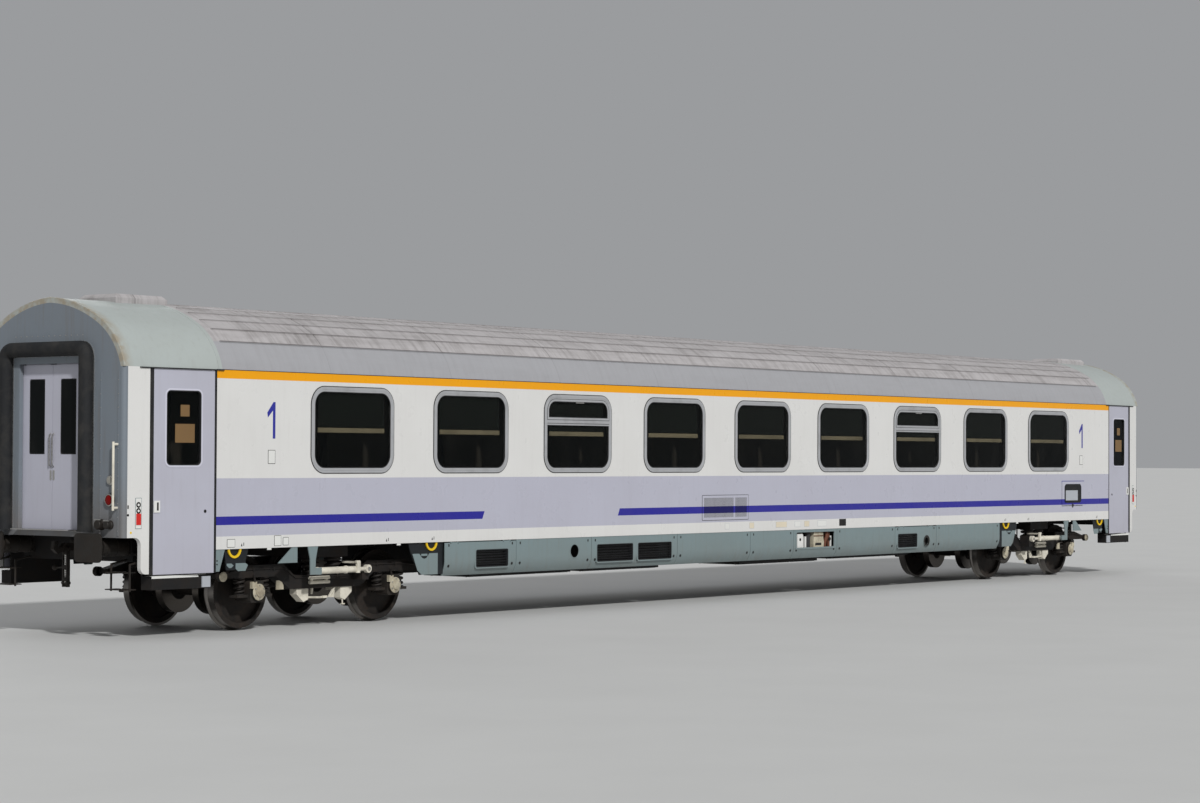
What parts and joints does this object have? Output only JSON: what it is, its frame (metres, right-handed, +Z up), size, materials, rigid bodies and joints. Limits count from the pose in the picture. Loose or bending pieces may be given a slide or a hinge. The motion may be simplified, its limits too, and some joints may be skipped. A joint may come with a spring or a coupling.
{
  "type": "passenger coach",
  "caption": "Corridor passenger coach on two bogies, with plug doors, ribbed roof, side skirts, gangways, buffers and compartments with seats.",
  "frame": {"origin": "middle of the coach on the level of the wheel flange tips, 28 mm under the rail head", "axes": "+X along the coach, +Y towards the compartment side, +Z up"},
  "size_m": [26.4, 2.8672, 4.1279],
  "materials": {
    "underframe_black": "matt, dusty",
    "body_paint": "satin",
    "roof_grey": "matt, streaked",
    "roof_end_grey": "matt",
    "interior_white": "matt",
    "door_lilac": "satin",
    "window_glass": "tinted, clear",
    "rubber": "matt",
    "alloy": "satin",
    "blind_cloth": "woven",
    "interior_panel": "matt",
    "interior_glass": "clear",
    "seat_cloth": "woven",
    "steel": "worn",
    "cast_iron": "rough",
    "lamp_glass": "glossy",
    "skirt_grey": "satin, dusty",
    "hook_yellow": "satin",
    "bogie_paint": "brake dust",
    "damper_cream": "dusty",
    "wheel_steel": "worn"
  },
  "bodies": {
    "body": {"air_reservoirs": "underframe_black", "blinds": "blind_cloth", "buffers": "steel", "ceiling": "interior_white", "corridor_glass": "interior_glass", "corridor_wall": "interior_panel", "cross_walls": "interior_panel", "damper_brackets": "underframe_black", "door_seals": "rubber", "door_steps": "underframe_black", "draw_gear": "cast_iron", "drip_rails": "body_paint", "end_door_tracks": "steel", "end_handrails": "steel", "end_walls": "body_paint", "gangway_rubbers": "rubber", "lifting_hooks": "hook_yellow", "luggage_racks": "alloy", "roof_centre": "roof_grey", "roof_ends": "roof_end_grey", "roof_hoods": "roof_end_grey", "seats": "seat_cloth", "service_hatch": "body_paint", "side_door_glass": "window_glass", "side_doors": "door_lilac", "side_wall_compartment": "body_paint", "side_wall_corridor": "body_paint", "sill_fairings": "skirt_grey", "skirt_grilles": "skirt_grey", "skirt_hinges": "steel", "skirts": "skirt_grey", "tail_lamps": "lamp_glass", "underfloor_boxes": "underframe_black", "underframe": "underframe_black", "vestibule_walls": "interior_panel", "wall_louvre": "skirt_grey", "window_frames": "alloy", "window_glass": "window_glass"},
    "bogie_1": {"axleboxes_1": "cast_iron", "bogie_frame_1": "bogie_paint", "brakes_and_dampers_1": "damper_cream", "springs_1": "bogie_paint"},
    "bogie_2": {"axleboxes_2": "cast_iron", "bogie_frame_2": "bogie_paint", "brakes_and_dampers_2": "damper_cream", "springs_2": "bogie_paint"},
    "wheelset_1": {"wheelset_1": "wheel_steel"},
    "wheelset_2": {"wheelset_2": "wheel_steel"},
    "wheelset_3": {"wheelset_3": "wheel_steel"},
    "wheelset_4": {"wheelset_4": "wheel_steel"},
    "bridge_plate_1": {"bridge_plate_1": "steel"},
    "bridge_plate_2": {"bridge_plate_2": "steel"},
    "end_door_1_left": {"end_door_1_left": "door_lilac"},
    "end_door_1_right": {"end_door_1_right": "door_lilac"},
    "end_door_2_left": {"end_door_2_left": "door_lilac"},
    "end_door_2_right": {"end_door_2_right": "door_lilac"},
    "skirt_flap_1_far": {"skirt_flap_1_far": "skirt_grey"},
    "skirt_flap_1_near": {"skirt_flap_1_near": "skirt_grey"},
    "skirt_flap_2_far": {"skirt_flap_2_far": "skirt_grey"},
    "skirt_flap_2_near": {"skirt_flap_2_near": "skirt_grey"}
  },
  "joints": [
    {"name": "bogie_1_turn", "type": "hinge", "parent": "body", "child": "bogie_1", "pos_m": [-9.4, 0, 1.028], "axis": [0, 0, 1], "range_deg": [-4, 4]},
    {"name": "bogie_2_turn", "type": "hinge", "parent": "body", "child": "bogie_2", "pos_m": [9.4, 0, 1.028], "axis": [0, 0, 1], "range_deg": [-4, 4]},
    {"name": "wheelset_1_roll", "type": "hinge", "parent": "bogie_1", "child": "wheelset_1", "pos_m": [-10.65, 0, 0.488], "axis": [0, 1, 0], "continuous": true},
    {"name": "wheelset_2_roll", "type": "hinge", "parent": "bogie_1", "child": "wheelset_2", "pos_m": [-8.15, 0, 0.488], "axis": [0, 1, 0], "continuous": true},
    {"name": "wheelset_3_roll", "type": "hinge", "parent": "bogie_2", "child": "wheelset_3", "pos_m": [8.15, 0, 0.488], "axis": [0, 1, 0], "continuous": true},
    {"name": "wheelset_4_roll", "type": "hinge", "parent": "bogie_2", "child": "wheelset_4", "pos_m": [10.65, 0, 0.488], "axis": [0, 1, 0], "continuous": true},
    {"name": "end_door_1_slide", "type": "slide", "parent": "body", "child": "end_door_1_left", "axis": [0, -1, 0], "range_m": [0, 0.49]},
    {"name": "end_door_1_follow", "type": "slide", "parent": "body", "child": "end_door_1_right", "axis": [0, 1, 0], "range_m": [0, 0.49]},
    {"name": "bridge_plate_1_fold", "type": "hinge", "parent": "body", "child": "bridge_plate_1", "pos_m": [-13.0553, 0, 1.278], "axis": [0, 1, 0], "range_deg": [0, 85]},
    {"name": "end_door_2_slide", "type": "slide", "parent": "body", "child": "end_door_2_left", "axis": [0, 1, 0], "range_m": [0, 0.49]},
    {"name": "end_door_2_follow", "type": "slide", "parent": "body", "child": "end_door_2_right", "axis": [0, -1, 0], "range_m": [0, 0.49]},
    {"name": "bridge_plate_2_fold", "type": "hinge", "parent": "body", "child": "bridge_plate_2", "pos_m": [13.0553, 0, 1.278], "axis": [0, -1, 0], "range_deg": [0, 85]},
    {"name": "skirt_flap_1_far_lift", "type": "hinge", "parent": "body", "child": "skirt_flap_1_far", "pos_m": [0, 1.3985, 1.028], "axis": [1, 0, 0], "range_deg": [0, 80]},
    {"name": "skirt_flap_1_near_lift", "type": "hinge", "parent": "body", "child": "skirt_flap_1_near", "pos_m": [0, -1.3985, 1.028], "axis": [-1, 0, 0], "range_deg": [0, 80]},
    {"name": "skirt_flap_2_far_lift", "type": "hinge", "parent": "body", "child": "skirt_flap_2_far", "pos_m": [0, 1.3985, 1.028], "axis": [1, 0, 0], "range_deg": [0, 80]},
    {"name": "skirt_flap_2_near_lift", "type": "hinge", "parent": "body", "child": "skirt_flap_2_near", "pos_m": [0, -1.3985, 1.028], "axis": [-1, 0, 0], "range_deg": [0, 80]}
  ],
  "couplings": [
    {"joint": "end_door_1_follow", "follows": "end_door_1_slide", "ratio": 1},
    {"joint": "end_door_2_follow", "follows": "end_door_2_slide", "ratio": 1}
  ]
}
